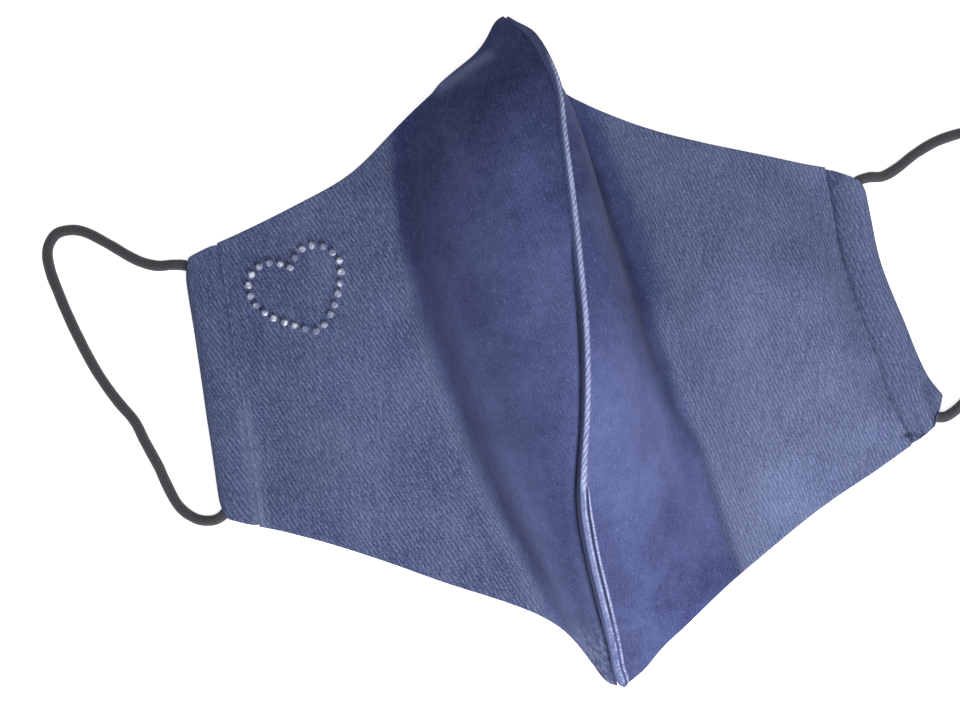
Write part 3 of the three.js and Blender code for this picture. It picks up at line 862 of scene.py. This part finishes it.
def half(name, node, casing, side, material):
    """One denim half: the CAD half's skin, drawn under the seam and to its casing, refined."""
    bm = skin_of(node)
    meet(bm, tree_of(casing), UNDER_CASING)
    under_seam = meet(bm, seam_tree, UNDER_SEAM, side["rounded"])
    creases = bm.edges.layers.float["crease_edge"]
    for edge in bm.edges:
        if edge.calc_face_angle() > CRISP_EDGE and edge[creases] == 0 and edge not in under_seam:
            edge[creases] = HEM_CRISPNESS
    piece = linked(name, bm)
    unwrap(piece)
    refined(piece, CLOTH_LEVELS)
    line = stitched_line(casing, node)

    def seam_distance(spot):
        found = seam_tree.find_nearest(spot, SEAM_REACH)
        return SEAM_REACH if found[0] is None else found[3]

    def relief(spot):
        sunk = side["seam_groove"] * MM * over("sunk_seam", spot)
        return sewn_lift(side, line, spot) - sunk * hump(seam_distance(spot), 0, 0.9 * MM)

    # Wear at the chin and beside the stitches; painted highlight on the strip beside the seam
    def wear(spot):
        chin = over("worn_chin", spot) * between(abs(spot.x), 14 * MM, 4 * MM)
        strip = over("painted_highlight_strip", spot) * between(seam_distance(spot), 4.5 * MM, 1.5 * MM)
        mottle = between(noise.noise(spot * 1100), -0.3, 0.5)
        worn = chin * side["worn_chin"] * mottle + strip * side["painted_highlight_strip"]
        # Standing creases painted paler: partly wear, partly painted highlight
        worn += 0.45 * max(crease_depth(side["creases"], spot) / MM, 0.0)
        return worn + sewn_wear(side, line, spot)

    # Painted shade: beside the seam, along the valley at the foot, at the chin, in pressed-in
    # creases and in listed patches
    def dark(spot):
        by_seam = hump(seam_distance(spot), 0, 0.75 * MM) * over("dark_seam", spot)
        bend = VALLEY_SHIFT * hump(spot.y, SHIFTED_AT, SHIFTED_OVER)
        valley = hump(inward(side, spot), bend, VALLEY_WIDTH)
        shaded = over("shaded_chin", spot) * between(seam_distance(spot), SEAM_REACH, 2 * MM)
        shade = by_seam * side["dark_seam"] + valley * side["dark_foot"]
        shade += shaded * side["shaded_chin"] + pressed_shade(side, spot)
        return shade + spread(side["shades"], spot)

    # Painted light: on the crown of the raised middle, along its slope and in listed patches
    def crown(spot):
        low, high = side["crown_heights"]
        top = between(spot.z, low * MM, high * MM) * side["crown"](spot.y)
        slope = hump(inward(side, spot), side["slope_middle"](spot.y), side["slope_reach"], 4)
        return top + slope * side["slope_light"](spot.y) + spread(side["painted_light_patches"], spot)

    # Where the denim is painted in its darker, bluer copy, a painted shade on the raised middle
    def raised(spot):
        return raised_share(side, spot)

    shape_cloth(piece, relief, wear=wear, dark=dark, crown=crown, raised=raised)
    fit_out(piece, material, "denim", node)
    return piece


def sleeve(name, node, panel, side, material):
    """A casing: the CAD casing's skin, refined, its stitched edge at the half's."""
    bm = skin_of(node)
    creases = bm.edges.layers.float.new("crease_edge")
    for edge in bm.edges:
        if edge.calc_face_angle() > CRISP_EDGE:
            edge[creases] = side["casing_crispness"]
    piece = linked(name, bm)
    refined(piece, CLOTH_LEVELS)
    line = stitched_line(node, panel)
    roll_out(piece, line, side["outward"])

    def relief(spot):
        return sewn_lift(side, line, spot)

    def wear(spot):
        return sewn_wear(side, line, spot)

    # Painted shade in pressed-in creases and over the whole casing
    def dark(spot):
        return pressed_shade(side, spot) + side["casing_shade"]

    shape_cloth(piece, relief, wear=wear, dark=dark)
    cover_mouths(piece, line, side)
    fit_out(piece, material, "denim", node)
    return piece


def cover_mouths(piece, line, side):
    """Draws the upper cloth of a casing out into the corners that cover the elastic's ways in."""
    mesh = piece.data
    corners = side["corners"]
    low = min(vert.co.y for vert in mesh.vertices)
    high = max(vert.co.y for vert in mesh.vertices)
    for vert in mesh.vertices:
        spot = vert.co
        across = side["outward"] * (spot.x - line_at(line, spot.y)) / CASING_WIDTH
        slant = CASING_SLANT * min(max(across, 0.0), 1.0)
        upper = between(spot.z, *UPPER_CLOTH)
        reach = min(max(across, 0.0) / CORNER_TIP, 1 - (across - CORNER_TIP) * CORNER_FALL)
        near_bottom = between(spot.y - low - slant, CORNER_RUN, 0.0)
        near_top = between(high - slant - spot.y, CORNER_RUN, 0.0)
        move = near_top * corners["top"] - near_bottom * corners["bottom"]
        spot.y += move * MM * reach * upper


def ridge_strand(spot, aside, parted):
    """The height of the twill's strands over the ridge, and of the smaller ones on the lips."""
    phase = (spot.y - STRAND_LEAN * spot.x) / STRAND_STEP + 0.35 * noise.noise(spot * 300)
    rope = 0.5 + 0.5 * math.cos(2 * math.pi * phase)
    turn = 2 * math.pi * spot.y / BEAD_STEP + 3 * noise.noise(spot * 500)
    beads = 0.6 + (0.5 * math.cos(turn) - 0.1) * between(aside, 0.4, 1.0)
    return rope + (beads - rope) * parted


def ridge_wear(spot, aside, parted, groove):
    """How pale the ridge is worn, on its crown and on the two lips."""
    rope = hump(aside, *ROPE, 4) * (1 - 0.9 * over("plain_tip", spot))
    lips = 0.3 * hump(aside, *LEFT_LIP, 4) + 0.95 * hump(aside, *LEFT_LIP_EDGE)
    lips += 1.1 * hump(aside, *RIGHT_LIP, 4)
    lips *= 0.65 + 0.7 * between(noise.noise(spot * 1500), -0.4, 0.4)
    rags = 0.85 * over("ragged_chin", spot) * between(noise.noise(spot * 1100), -0.3, 0.4)
    return max(0.0, rope + (lips - rope) * parted - groove) * (1 - rags)


def seam(name, material):
    """The seam's ridge, with the twill's strands across it and the lips that part at the chin."""
    piece = linked(name, skin_of("centre_seam"))
    refined(piece, SEAM_LEVELS)
    bm = bmesh.new()
    bm.from_mesh(piece.data)
    lengthwise = []
    for edge in bm.edges:
        along = (edge.verts[1].co - edge.verts[0].co).normalized()
        if edge.calc_length() > LONG_EDGE and abs(along.y) > 0.3:
            lengthwise.append(edge)
    bmesh.ops.subdivide_edges(bm, edges=lengthwise, cuts=3, use_grid_fill=True)
    bm.to_mesh(piece.data)
    bm.free()

    mesh = piece.data
    mesh.shade_smooth()
    left, right = tree_of("left_panel"), tree_of("right_panel")
    layers = paint_layers(mesh, ("strand", "wear", "dark", "lit"))
    normals = [vert.normal.copy() for vert in mesh.vertices]
    for i, vert in enumerate(mesh.vertices):
        spot = vert.co.copy()
        # How far the place lies to the right of the seam's middle, in millimetres
        on_left, on_right = left.find_nearest(spot)[0], right.find_nearest(spot)[0]
        sideways = (on_right - on_left).normalized()
        aside = (spot - (on_left + on_right) / 2).dot(sideways) / MM

        upward = between(normals[i].z, 0.0, 0.5)
        chin = over("ragged_chin", spot)
        parted = over("parted_lips", spot)
        groove = hump(aside, *LIP_GROOVE) * parted * (1 - 0.5 * chin)
        strand = ridge_strand(spot, aside, parted)
        foot = 0.85 * between(aside, -0.75, -1.2) * over("dark_ridge_foot", spot)
        flank = between(aside, -0.4, -1.1) * over("lit_flank", spot)
        layers["strand"][i].value = strand * upward
        layers["wear"][i].value = ridge_wear(spot, aside, parted, groove) * upward
        # Painted shade in the groove and at the left foot; painted light below the nose and on the
        # left flank
        layers["dark"][i].value = min(1.0, groove + foot * (1 - chin)) * upward
        layers["lit"][i].value = min(1.0, 0.5 * over("lit_ridge", spot) + 0.55 * flank)

        lift = (strand - 0.5) * STRAND_HEIGHT - RIDGE_SINKS
        lift += (0.4 * hump(aside, *LIFTED_LIP) - 0.45 * groove) * parted * MM
        tuck = Vector(NOSE_TUCK) * over("nose_tuck", spot)
        tuck += Vector(CHIN_TUCK) * over("chin_tuck", spot)
        vert.co += normals[i] * lift * upward + pulled(spot) + tuck
    fit_out(piece, material, "seam", "centre_seam")


def cloth_tree(piece):
    """A tree that finds where a ray meets a finished cloth."""
    bm = bmesh.new()
    bm.from_mesh(piece.data)
    tree = BVHTree.FromBMesh(bm)
    bm.free()
    return tree


def cloth_height(ground, point):
    """How high the uppermost cloth lies at a place on the table, or 0 beside it."""
    above = point + Vector((0, 0, ABOVE_CLOTH))
    hits = [tree.ray_cast(above, Vector((0, 0, -1)))[0] for tree in ground]
    return max((hit.z for hit in hits if hit is not None), default=0.0)


def stitches(name, line, cloths, material):
    """Stitches along a casing: short threads that lie in the groove."""
    ground = [cloth_tree(cloth) for cloth in cloths]
    bm = bmesh.new()
    count = int((line[-1].y - line[0].y - FIRST_STITCH - LAST_STITCH) / STITCH_STEP)
    for i in range(count):
        y = line[0].y + FIRST_STITCH + i * STITCH_STEP
        here = Vector((line_at(line, y), y, 0))
        there = Vector((line_at(line, y + STITCH_LENGTH), y + STITCH_LENGTH, 0))
        for point in (here, there):
            point.z = cloth_height(ground, point)
        if min(here.z, there.z) == 0.0:
            continue
        middle = (here + there) / 2 + Vector((0, 0, 0.3 * THREAD_WIDTH))
        turned = Vector((0, 0, 1)).rotation_difference(there - here).to_matrix().to_4x4()
        size = Matrix.Diagonal((THREAD_WIDTH / 2, THREAD_WIDTH / 2, (there - here).length / 2, 1))
        laid = Matrix.Translation(middle) @ turned @ size
        bmesh.ops.create_uvsphere(bm, u_segments=8, v_segments=8, radius=1.0, matrix=laid)
    fit_out(linked(name, bm), material, "seam")


def table_and_light():
    """A pale table under soft light that comes mostly from the right."""
    floor = Finish("table", Roughness=0.9, Base_Color=(0.9, 0.9, 0.9, 1))
    floor.surface(Emission_Color=(1, 1, 1, 1), Emission_Strength=TABLE_GLOW)
    bm = bmesh.new()
    bmesh.ops.create_grid(bm, x_segments=1, y_segments=1, size=TABLE_HALF_SIZE)
    table = linked("table", bm)
    table.data.materials.append(floor.material)

    world = bpy.data.worlds.new("studio")
    bpy.context.scene.world = world
    world.use_nodes = True
    world.node_tree.nodes["Background"].inputs["Color"].default_value = (1, 1, 1, 1)
    world.node_tree.nodes["Background"].inputs["Strength"].default_value = WORLD_STRENGTH
    bpy.context.scene.view_settings.view_transform = "Standard"

    for name, place, size, power in SOFTBOXES:
        light = bpy.data.lights.new(name, "AREA")
        light.size = size
        light.energy = power
        lamp = bpy.data.objects.new(name, light)
        lamp.location = place
        lamp.rotation_euler = (-Vector(place)).to_track_quat("-Z", "Y").to_euler()
        bpy.context.collection.objects.link(lamp)


camera()
elastic = elastic_finish()
ear_loop("left_elastic", "left_ear_loop", LEFT_ROUTE, elastic)
ear_loop("right_elastic", "right_ear_loop", RIGHT_ROUTE, elastic)
table_and_light()

seam_tree = tree_of("centre_seam")
# The right half's denim is painted lighter than the left's, as painted light; their twills also
# lean differently
left_denim = denim_finish("left_denim", math.radians(116), -0.02)
right_denim = denim_finish("right_denim", math.radians(107), 0.14)
left_half = half("left_half", "left_panel", "left_casing", LEFT, left_denim)
right_half = half("right_half", "right_panel", "right_casing", RIGHT, right_denim)
left_sleeve = sleeve("left_sleeve", "left_casing", "left_panel", LEFT, left_denim)
right_sleeve = sleeve("right_sleeve", "right_casing", "right_panel", RIGHT, right_denim)
seam("seam_ridge", seam_finish())

thread = thread_finish()
left_line = stitched_line("left_casing", "left_panel")
right_line = stitched_line("right_casing", "right_panel")
stitches("left_stitches", left_line, (left_half, left_sleeve), thread)
stitches("right_stitches", right_line, (right_half, right_sleeve), thread)

stone = stone_finish()
for name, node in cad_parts.items():
    if name.startswith("stone_"):
        node.material_slots[0].material = stone
